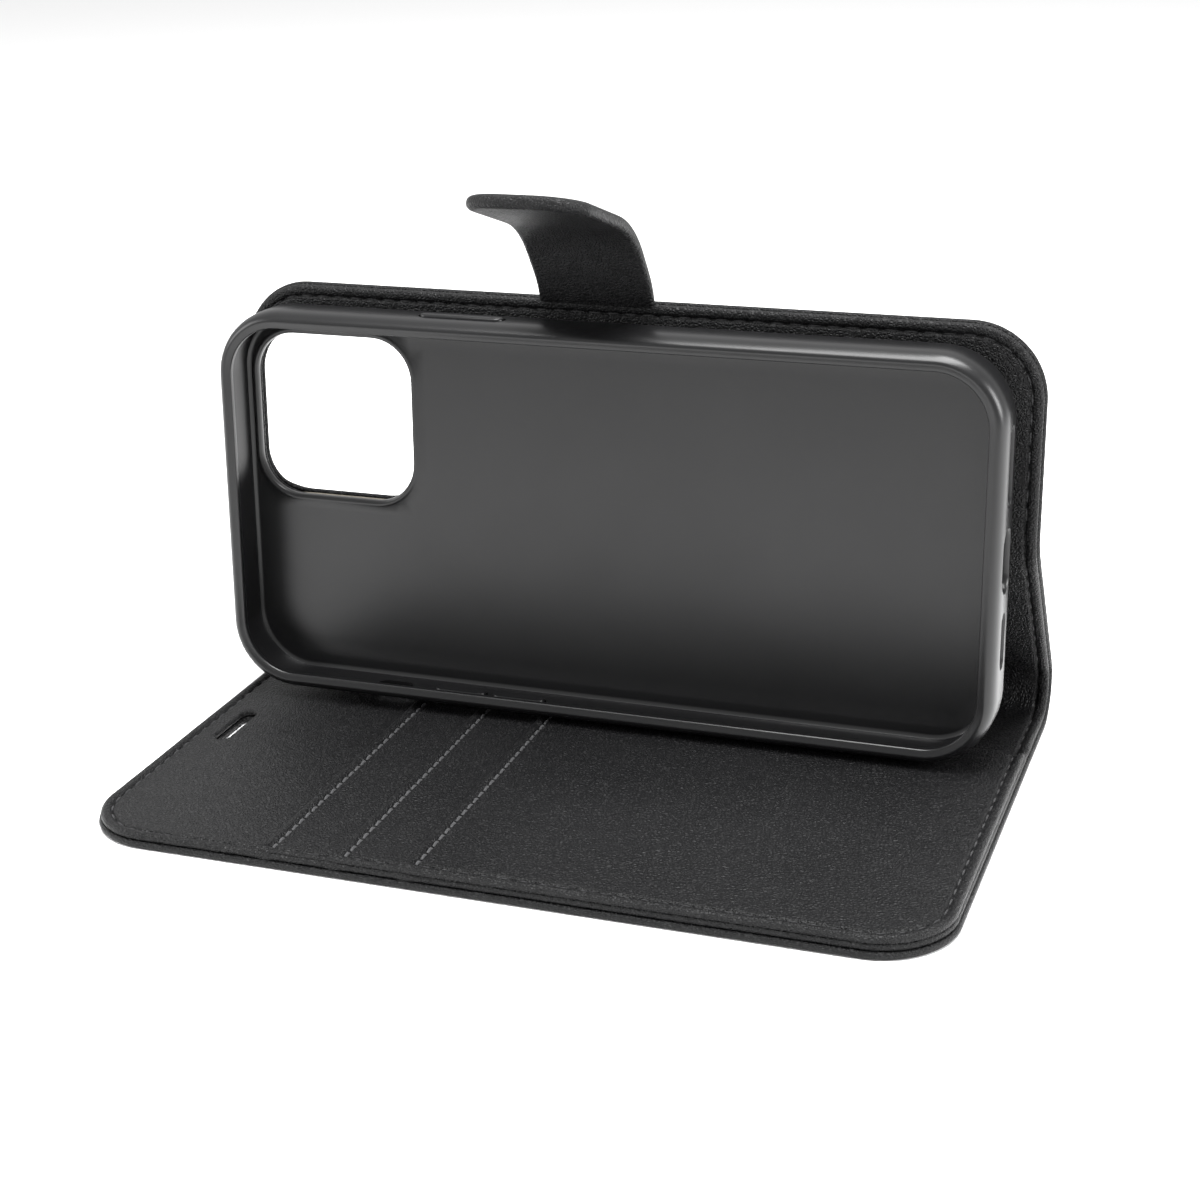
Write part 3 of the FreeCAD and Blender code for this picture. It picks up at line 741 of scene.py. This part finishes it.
CAMERA_STEPS = (12, 12)
CAMERA_ROUNDING = [(1.3, 1.4), (1.05, 1.52), (0.75, 1.6), (0.4, 1.55), (0.12, 1.35), (0.0, 1.05), (0.0, 0.28),
                   (0.12, 0.08), (0.35, 0.0)]


def camera_loop(margin):
    """Points round the camera opening, a margin larger all round."""
    return even_loop(camera_hole(margin), 0, 10, CAMERA_STEPS)


def floor_plan(rim, hole):
    """Triangles between the tray's rim loop and the camera opening, with a loose grid between."""
    points, edges = [], []
    for loop in (rim, hole):
        add_loop(points, edges, loop)
    near_camera = camera_hole(2.0)
    for column in range(-24, 25):
        for row in range(-11, 12):
            x = tray_shape["middle"][0] + column * 3
            s = tray_shape["middle"][1] + row * 3
            if inside(tray_shape, x, s) > 4.4 and inside(near_camera, x, s) < 0:
                points.append((x, s))
    flat, _, triangles, *_ = delaunay_2d_cdt([Vector(point) for point in points], edges, [], 1, 1e-6)
    return flat, triangles


# %% Build the tray
work = bmesh.new()
loops = [[work.verts.new(on_back(x, s, TRAY_LEVEL + depth)) for x, s in even_loop(tray_shape, inset)]
         for inset, depth in TRAY_SECTION]
camera_loops = [[work.verts.new(on_back(x, s, TRAY_LEVEL + depth)) for x, s in camera_loop(margin)]
                for margin, depth in CAMERA_ROUNDING]
for chain in (loops, camera_loops):
    for before, after in zip(chain, chain[1:]):
        band(work, before, after)
for rim, rim_row, hole, hole_row in ((loops[-1], TRAY_SECTION[-1], camera_loops[0], CAMERA_ROUNDING[0]),
                                     (loops[0], TRAY_SECTION[0], camera_loops[-1], CAMERA_ROUNDING[-1])):
    flat, triangles = floor_plan(even_loop(tray_shape, rim_row[0]), camera_loop(hole_row[0]))
    verts = rim + hole
    verts += [work.verts.new(on_back(point.x, point.y, TRAY_LEVEL + rim_row[1]))
              for point in flat[len(verts):]]
    for triangle in triangles:
        x = sum(flat[corner].x for corner in triangle) / 3
        s = sum(flat[corner].y for corner in triangle) / 3
        if inside(camera_hole(hole_row[0]), x, s) < 0:
            work.faces.new([verts[corner] for corner in triangle])
tray = finish_work("tray_shell", work, tray_rubber, 40)

# %% [markdown]
# ## Openings in the tray's walls
# The charging port, the speaker and microphone slots, the mute switch and the three keys each
# have an opening. Each is cut with a rounded block that flares towards the outside, because a
# mould needs that draught and because a finger or a plug needs the room.

# %% Cutters
KEY_LEVEL = TRAY_LEVEL + 6.0


def stadium(length, width, turns=10):
    """Points round an oval of the given length and width, centred on nothing."""
    radius = width / 2
    points = []
    for end in (1, -1):
        for count in range(turns + 1):
            angle = math.radians(-90 + 180 * count / turns)
            points.append((end * (length / 2 - radius) + end * radius * math.cos(angle),
                           end * radius * math.sin(angle)))
    return points


def oval_block(name, middle, run, across, out, rings, material):
    """An oval block built from rings: each is (distance out, size added all round, size)."""
    work = bmesh.new()
    loops = []
    for distance, (length, width) in rings:
        base = Vector(middle) + out * distance
        loops.append([work.verts.new((base + run * a + across * b) * MM) for a, b in stadium(length, width)])
    for before, after in zip(loops, loops[1:]):
        band(work, before, after)
    work.faces.new(loops[0])
    work.faces.new(loops[-1])
    return finish_work(name, work, material)


X_WAY = Vector((1, 0, 0))
UP_WAY = Vector((0, UP.x, UP.y))
FORWARD_WAY = Vector((0, FORWARD.x, FORWARD.y))


def back_point(x, height, depth):
    """on_back in millimetres."""
    return Vector(on_back(x, height, depth)) / MM


def flared(length, width, flare):
    """Rings of a cutter that is straight through the wall and flares at its outer face."""
    return [(out, (length + flare * share, width + flare * share))
            for out, share in ((-3.0, 0), (-0.55, 0), (-0.2, 0.5), (0.15, 1.6), (1.5, 5))]


PORT_END = TRAY_LEFT + TRAY_LENGTH
cutters = []
for name, low, length, width, flare in (("port", 32.3, 11.4, 5.4, 0.6), ("speaker", 47.7, 14.3, 3.0, 0.45),
                                        ("microphone", 18.2, 10.2, 3.0, 0.45)):
    middle = back_point(PORT_END, low + length / 2, KEY_LEVEL)
    cutters.append(oval_block("cut_" + name, middle, UP_WAY, FORWARD_WAY, X_WAY,
                              flared(length, width, flare), tray_rubber))
KEY_WIDTH = 3.4
SIDE_OPENINGS = {"mute": (29.0, 7.3, 0.0, -UP_WAY, 0.5),
                 "volume_up": (41.0, 11.0, 0.0, -UP_WAY, 0.25),
                 "volume_down": (53.0, 11.0, 0.0, -UP_WAY, 0.25),
                 "power": (40.3, 17.0, TRAY_HEIGHT, UP_WAY, 0.12)}
for name, (start, length, height, out, flare) in SIDE_OPENINGS.items():
    middle = back_point(TRAY_LEFT + start + length / 2, height, KEY_LEVEL)
    cutters.append(oval_block("cut_" + name, middle, X_WAY, FORWARD_WAY, out,
                              flared(length, KEY_WIDTH, flare), tray_rubber))
for cutter in cutters:
    trim = tray.modifiers.new(cutter.name, "BOOLEAN")
    trim.object = cutter
    trim.solver = "EXACT"
cut_mesh = plain_mesh(tray)
for cutter in cutters:
    bpy.data.objects.remove(cutter)
tray = finish_mesh("tray_shell", cut_mesh, tray_rubber, 32)
tray.name = "phone_tray_shell"
print("tray", len(cut_mesh.polygons), "faces after cutting")

# %% [markdown]
# ## Keys
# Each key is a pad of the same rubber, domed so that a thumb finds it, with a gap all round in
# which it moves. The pad is the same oval block with rings that close in towards its top.

# %% Key pads
KEY_GAP = 0.3
KEY_DOME = ((1.9, 0.3), (1.7, 0.0), (0.5, 0.0), (0.28, 0.12), (0.12, 0.42), (0.03, 1.0), (0.0, 1.9))
keys = {}
for name, proud in (("power", 0.5), ("volume_up", -0.25), ("volume_down", -0.25)):
    start, length, height, out, _ = SIDE_OPENINGS[name]
    long_side, short_side = length - 2 * KEY_GAP, KEY_WIDTH - 2 * KEY_GAP
    rings = [(proud - sunk, (long_side - pull, short_side - pull)) for sunk, pull in KEY_DOME]
    middle = back_point(TRAY_LEFT + start + length / 2, height, KEY_LEVEL)
    keys[name + "_key"] = oval_block(name + "_key_pad", middle, X_WAY, FORWARD_WAY, out, rings, key_rubber)

# %% [markdown]
# ## Closing strap
# The strap is a tongue of two leather skins with a magnet between them, sewn into the back's top
# edge. Standing open it curls forward. Its section is a flat oval, with a rolled edge all round,
# and it follows a path with two soft corners, at the design's two folds. It is made as two
# stretches that meet in the middle, so each bends over one fold.

# %% Strap
STRAP_HALF = 1.2
TAB_ANGLE = math.radians(161.5)
TAB_LENGTH = 30.0
TAIL = 3.0
strap_fold = fold("strap_base_fold")
tab_fold = fold("strap_tip_fold")
tab_way = Vector((math.cos(TAB_ANGLE), math.sin(TAB_ANGLE)))
strap_path = rounded_path([strap_fold - UP * (TAIL + 8), strap_fold, tab_fold,
                           tab_fold + tab_way * TAB_LENGTH], [17.0, 22.0])
STRAP_LENGTH = path_length(strap_path)
strap_low, strap_high = (corner.x / MM for corner in (Vector(c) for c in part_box("strap_arm_outer")))
strap_shape = rectangle(strap_low, strap_high, 0, STRAP_LENGTH, 8.0)
strap_shape["radii"][1, -1] = strap_shape["radii"][-1, -1] = 0.5
SEWN_IN = 8.0


def strap_faces(d, x, s):
    """The strap: thin where it is sewn in, then two skins with a rolled edge and a seam line."""
    swell = 1 / (1 + math.exp(-(s - SEWN_IN - 1.5) / 0.8))
    half = 0.25 + (STRAP_HALF - 0.25) * swell
    low, high = rolled(-half, half, d, max(half, 0.3))
    return low + 0.12 * swell * math.exp(-((d - 2.6) / 0.5) ** 2), high


STRAP_MIDDLE = STRAP_LENGTH - TAB_LENGTH - (tab_fold - strap_fold).length / 2 + 1.0
STRAP_RINGS = (0.0, 0.05, 0.15, 0.32, 0.6, 0.9, 1.2, 1.7, 2.2, 2.6, 3.0, 3.5)
strap_parts = {}
for part, cuts in (("arm", (-FAR, STRAP_MIDDLE)), ("tab", (STRAP_MIDDLE, FAR))):
    strap_parts[part] = leather("strap_" + part + "_leather", strap_path, strap_shape, strap_faces,
                                outer_leather, (), cuts, 1.3, STRAP_RINGS)

# %% [markdown]
# ## Seams
# A lock stitch shows as a row of short dashes, each sunk at both ends. A Geometry Nodes tree
# makes one stitch from a small arched curve and sets it along any line: the line is divided by
# the stitch pitch, and each stitch is turned to lie along the line and to face outwards.

# %% The stitch tree
def stitch_tree():
    """Geometry Nodes: stitches of a given length, pitch and thread radius along a line."""
    tree = bpy.data.node_groups.new("seam_stitches", "GeometryNodeTree")
    face = tree.interface
    face.new_socket("Line", in_out="INPUT", socket_type="NodeSocketGeometry")
    for name, value in (("Pitch", 0.0034), ("Stitch Length", 0.0022), ("Thread Radius", 0.0002)):
        face.new_socket(name, in_out="INPUT", socket_type="NodeSocketFloat").default_value = value
    face.new_socket("Facing", in_out="INPUT", socket_type="NodeSocketVector").default_value = (0, 0, 1)
    face.new_socket("Thread", in_out="INPUT", socket_type="NodeSocketMaterial")
    face.new_socket("Stitches", in_out="OUTPUT", socket_type="NodeSocketGeometry")
    given = add(tree, "NodeGroupInput").outputs
    half = add(tree, "ShaderNodeMath", {"operation": "MULTIPLY"}, {0: given["Stitch Length"], 1: 0.5})
    other = add(tree, "ShaderNodeMath", {"operation": "MULTIPLY"}, {0: given["Stitch Length"], 1: -0.5})
    sunk = add(tree, "ShaderNodeMath", {"operation": "MULTIPLY"}, {0: given["Thread Radius"], 1: -1.0})
    crown = add(tree, "ShaderNodeMath", {"operation": "MULTIPLY"}, {0: given["Thread Radius"], 1: 1.6})
    start = add(tree, "ShaderNodeCombineXYZ", inputs={0: other.outputs[0], 2: sunk.outputs[0]})
    top = add(tree, "ShaderNodeCombineXYZ", inputs={2: crown.outputs[0]})
    stop = add(tree, "ShaderNodeCombineXYZ", inputs={0: half.outputs[0], 2: sunk.outputs[0]})
    arch = add(tree, "GeometryNodeCurveQuadraticBezier",
               inputs={"Resolution": 5, "Start": start.outputs[0], "Middle": top.outputs[0],
                       "End": stop.outputs[0]})
    section = add(tree, "GeometryNodeCurvePrimitiveCircle",
                  inputs={"Resolution": 6, "Radius": given["Thread Radius"]})
    stitch = add(tree, "GeometryNodeCurveToMesh", inputs={"Curve": arch.outputs[0],
                                                          "Profile Curve": section.outputs["Curve"],
                                                          "Fill Caps": True})
    line = add(tree, "GeometryNodeMeshToCurve", inputs={"Mesh": given["Line"]})
    spaced = add(tree, "GeometryNodeResampleCurve", {"mode": "LENGTH"},
                 {"Curve": line.outputs["Curve"], "Length": given["Pitch"]})
    tangent = add(tree, "GeometryNodeInputTangent")
    along_line = add(tree, "FunctionNodeAlignRotationToVector", {"axis": "X"}, {"Vector": tangent.outputs[0]})
    facing = add(tree, "FunctionNodeAlignRotationToVector", {"axis": "Z", "pivot_axis": "X"},
                 {"Rotation": along_line.outputs[0], "Vector": given["Facing"]})
    rows = add(tree, "GeometryNodeInstanceOnPoints", inputs={"Points": spaced.outputs[0],
                                                             "Instance": stitch.outputs[0],
                                                             "Rotation": facing.outputs[0]})
    real = add(tree, "GeometryNodeRealizeInstances", inputs={"Geometry": rows.outputs[0]})
    coloured = add(tree, "GeometryNodeSetMaterial", inputs={"Geometry": real.outputs[0],
                                                            "Material": given["Thread"]})
    add(tree, "NodeGroupOutput", inputs={"Stitches": coloured.outputs[0]})
    return tree


seam_tree = stitch_tree()


def seam_part(lines, facing, stitches):
    """Stitches along lines of places, as a plain mesh."""
    mesh = bpy.data.meshes.new("seam_line")
    places, links = [], []
    for line in lines:
        links += [(len(places) + number, len(places) + number + 1) for number in range(len(line) - 1)]
        places += line
    mesh.from_pydata(places, links, [])
    carrier = bpy.data.objects.new("seam_line", mesh)
    bpy.context.scene.collection.objects.link(carrier)
    rows = carrier.modifiers.new("seam", "NODES")
    rows.node_group = seam_tree
    values = {**stitches, "Facing": facing}
    for socket in seam_tree.interface.items_tree:
        if socket.in_out == "INPUT" and socket.name in values:
            rows[socket.identifier] = values[socket.name]
    return plain_mesh(carrier)


def seam(name, groups, stitches):
    """Joins the stitches of one body's seams into one piece."""
    work = bmesh.new()
    for lines, facing in groups:
        part = seam_part(lines, facing, stitches)
        work.from_mesh(part)
        bpy.data.meshes.remove(part)
    return finish_work(name, work, stitches["Thread"])


# %% [markdown]
# ## Where the seams run
# One seam runs round the whole case and goes right through it, so it shows on both faces. On
# the front cover it also steps up over the card panels. Each panel's mouth has a seam of its
# own. Every body carries its own stretch of thread.

# %% Seam lines
def case_line(layout, depth):
    """Places on the case for points (x, along) of the flat layout, at a depth."""
    line = []
    for x, s in layout:
        y, z = spot(case_path, s, depth + undulation(x, s) if depth > 0.3 else depth)
        line.append((x * MM, y * MM, z * MM))
    return line


def straight(start, stop, step=1.5):
    """Points from start to stop in the flat layout."""
    parts = max(2, round(math.dist(start, stop) / step))
    return [(start[0] + (stop[0] - start[0]) * part / parts,
             start[1] + (stop[1] - start[1]) * part / parts) for part in range(parts + 1)]


def seam_round(keep):
    """The perimeter seam's layout where keep is true, in one unbroken run."""
    ring = outline(skin_shape, SEAM_INSET, 1.0)
    first = next(number for number, point in enumerate(ring) if not keep(*point))
    return [point for point in ring[first:] + ring[:first] if keep(*point)]


def sides(first, last):
    """The perimeter seam's two straight stretches between two distances along the case."""
    return [straight((side * (PANEL_END - SEAM_INSET), first), (side * (PANEL_END - SEAM_INSET), last))
            for side in (-1, 1)]


# %% Seams, one piece a body
EDGE_STITCHES = {"Pitch": 0.0034, "Stitch Length": 0.0023, "Thread Radius": 0.00017, "Thread": edge_thread}
SLOT_STITCHES = {"Pitch": SLOT_PITCH * MM * 0.999, "Stitch Length": 0.0017, "Thread Radius": 0.00026,
                 "Thread": slot_thread}
INNER_DEPTH, OUTER_DEPTH = LINING_TOP - 0.42 + 0.03, 0.24 - 0.1


def inner_level(x):
    """Height of the seam's groove on the lining or on the topmost card panel at x."""
    return INNER_DEPTH + CARD_THICK * sum(x > mouth for mouth in mouths)


def inner_line(layout):
    """A seam on the inner face of the cover, stepping at the card panels."""
    line = []
    for x, s in layout:
        line += case_line([(x, s)], inner_level(x))
    return line


inward = (0.0, 0.0, 1.0)
outward = (0.0, 0.0, -1.0)
cover_round = seam_round(lambda x, s: s < COVER_END)
breaks = [-PANEL_END] + mouths + [PANEL_END]
cover_groups = []
for low_x, high_x in zip(breaks, breaks[1:]):
    run = [point for point in cover_round if low_x + 0.4 <= point[0] <= high_x - 0.4]
    cover_groups.append(([inner_line(run)], inward))
cover_groups.append(([case_line(cover_round, OUTER_DEPTH)], outward))
slot_groups = []
for number, mouth in enumerate(mouths):
    level = LINING_TOP + CARD_THICK * (number + 1) - 0.08
    run = straight((mouth + SLOT_INSET, SLOT_START), (mouth + SLOT_INSET, COVER_END))
    slot_groups.append(([case_line(run, level)], inward))
seams = {"cover": seam("cover_seam", cover_groups, EDGE_STITCHES),
         "slots": seam("slot_seam", slot_groups, SLOT_STITCHES)}

back_forward = (0.0, FORWARD.x, FORWARD.y)
back_out = (0.0, -FORWARD.x, -FORWARD.y)
back_first = ALONG_CREASE + 6
back_round = seam_round(lambda x, s: s > back_first)
seams["back"] = seam("back_seam", [([case_line(back_round, INNER_DEPTH)], back_forward),
                                   ([case_line(back_round, OUTER_DEPTH)], back_out)], EDGE_STITCHES)
for body, first, last in (("spine", ALONG_FRONT_FOLD + 3, ALONG_REAR_FOLD - 2),
                          ("kick_flap", ALONG_FLAP_FOLD + 3, ALONG_CREASE - 5)):
    here, there = spot(case_path, first, 0), spot(case_path, last, 0)
    way = (there - here).normalized()
    facing = (0.0, -way.y, way.x)
    back_facing = (0.0, way.y, -way.x)
    seams[body] = seam(body + "_seam", [
        ([case_line(run, depth) for run in sides(first, last)], way_out)
        for depth, way_out in ((INNER_DEPTH, facing), (OUTER_DEPTH, back_facing))], EDGE_STITCHES)

# %% [markdown]
# ## Joining the pieces to the design
# The card panels, the tray, the keys and the seams each ride on one body of the design. The
# stretches of skin, lining and strap stay as they are built, in the rest pose, on no body. A
# finished piece also takes the place of the plain CAD solids it stands for.

# %% Bodies, folds and replaced solids
def case_place(s):
    """A place in the middle of the leather, at a distance along the case."""
    y, z = spot(case_path, s, HALF_THICK)
    return (0.0, y * MM, z * MM)


FOLDS = {"cover": ("front_cover", "spine", ALONG_FRONT_FOLD, 3.2),
         "spine": ("spine", "rear_bend", ALONG_REAR_FOLD, 3.5),
         "flap": ("rear_bend", "kick_flap", ALONG_FLAP_FOLD, 3.5),
         "back": ("kick_flap", "back", ALONG_CREASE, 5.0)}
REPLACED = {"cover": "front", "spine": "spine", "flap": "flap", "back": "back"}
for part, (first_body, second_body, place, reach) in FOLDS.items():
    for layer, pieces, slot_name in (("_outer_skin", skins, "outer_leather"),
                                     ("_lining", linings, "lining_leather")):
        piece = pieces[part]
        case_place(place - reach)
        case_place(place + reach)
        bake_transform(piece)
        nodes = [REPLACED[part] + layer]
        if part == "flap":
            nodes.append("bend" + layer)
        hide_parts(*nodes)

for node_name, piece in card_panels.items():
    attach(piece, "front_cover")
    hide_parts(node_name)

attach(tray, "back")
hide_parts("phone_tray")
for body, piece in keys.items():
    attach(piece, body)
    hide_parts(body)

STRAP_FOLDS = {"arm": ("back", "strap_arm", strap_fold, UP,
                       (tab_fold - strap_fold).normalized(), 5.5),
               "tab": ("strap_arm", "strap_tab", tab_fold,
                       (tab_fold - strap_fold).normalized(), tab_way, 6.5)}
for part, (first_body, second_body, place, way_in, way_out, reach) in STRAP_FOLDS.items():
    start = place - way_in * reach
    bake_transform(strap_parts[part])
    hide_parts(f"strap_{part}_outer", f"strap_{part}_inner")

SEAM_NODES = {"cover": ("front_cover", "front_edge_thread"), "slots": ("front_cover", "slot_edge_thread"),
              "back": ("back", "back_edge_thread"), "spine": ("spine", None),
              "kick_flap": ("kick_flap", None)}
for part, piece in seams.items():
    body, node_name = SEAM_NODES[part]
    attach(piece, body)
    if node_name:
        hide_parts(node_name)

# %% [markdown]
# ## Floor, light and camera
# A pale sweep of paper under the case, a large soft light overhead and two weaker ones at the
# sides give the broad highlights of a product table. The camera stands to the right, a little
# above, and looks down on the open case.

# %% Floor
def floor_finish():
    """Matt white paper."""
    material, tree, place = new_finish("matt_paper")
    tooth = add(tree, "ShaderNodeTexNoise", inputs={"Vector": place, "Scale": 1000 / 3, "Detail": 2.0})
    bump = add(tree, "ShaderNodeBump", inputs={"Height": tooth.outputs["Fac"], "Strength": 0.05,
                                               "Distance": 0.0001})
    shader = add(tree, "ShaderNodeBsdfPrincipled",
                 inputs={"Base Color": linear("#f8f8f8"), "Roughness": 0.95,
                         "Specular IOR Level": 0.1, "Normal": bump.outputs["Normal"]})
    close_finish(tree, shader)
    return material


FLOOR_SIZE = 12.0
floor_mesh = bpy.data.meshes.new("paper_floor")
half = FLOOR_SIZE / 2
floor_level = -0.0001
floor_mesh.from_pydata([(-half, -half, floor_level), (half, -half, floor_level), (half, half, floor_level),
                        (-half, half, floor_level)], [], [(0, 1, 2, 3)])
floor = bpy.data.objects.new("paper_floor", floor_mesh)
floor_mesh.materials.append(floor_finish())
bpy.context.scene.collection.objects.link(floor)

# %% Lights
def soft_light(name, place, aim, size, power):
    """A square soft light at a place, pointing at another, in metres and watts."""
    data = bpy.data.lights.new(name, "AREA")
    data.shape = "RECTANGLE"
    data.size, data.size_y = size
    data.energy = power
    lamp = bpy.data.objects.new(name, data)
    way = Vector(aim) - Vector(place)
    lamp.rotation_euler = way.to_track_quat("-Z", "Y").to_euler()
    lamp.location = place
    bpy.context.scene.collection.objects.link(lamp)
    return lamp


centre = (0.0, 0.02, 0.05)
for name, place, size, power in (("overhead", (0.05, 0.0, 0.7), (0.7, 0.35), 13.0),
                                 ("left_side", (-0.7, -0.25, 0.35), (0.4, 0.4), 3.0),
                                 ("right_side", (0.75, 0.05, 0.30), (0.3, 0.4), 6.0)):
    soft_light(name, place, centre, size, power)
world = bpy.data.worlds.new("white_room")
world.use_nodes = True
world.node_tree.nodes["Background"].inputs["Color"].default_value = linear("#ffffff")
world.node_tree.nodes["Background"].inputs["Strength"].default_value = 0.85
bpy.context.scene.world = world
bpy.context.scene.view_settings.view_transform = "Standard"

# %% Camera
EYE = Vector((0.13165, -0.33366, 0.17537))
HEADING, TILT, ROLL = math.radians(-20.25), math.radians(20.93), math.radians(-1.565)
LENS, SENSOR = 66.85, 36.0
look = Vector((math.sin(HEADING) * math.cos(TILT), math.cos(HEADING) * math.cos(TILT), -math.sin(TILT)))
level_right = Vector((math.cos(HEADING), -math.sin(HEADING), 0))
level_up = level_right.cross(look)
right = level_right * math.cos(ROLL) + level_up * math.sin(ROLL)
above = level_up * math.cos(ROLL) - level_right * math.sin(ROLL)
camera_data = bpy.data.cameras.new("camera")
camera_data.lens = LENS
camera_data.sensor_width = SENSOR
camera_data.clip_start = 0.01
camera = bpy.data.objects.new("camera", camera_data)
camera.matrix_world = Matrix.Translation(EYE) @ Matrix((right, above, -look)).transposed().to_4x4()
bpy.context.scene.collection.objects.link(camera)
bpy.context.scene.camera = camera
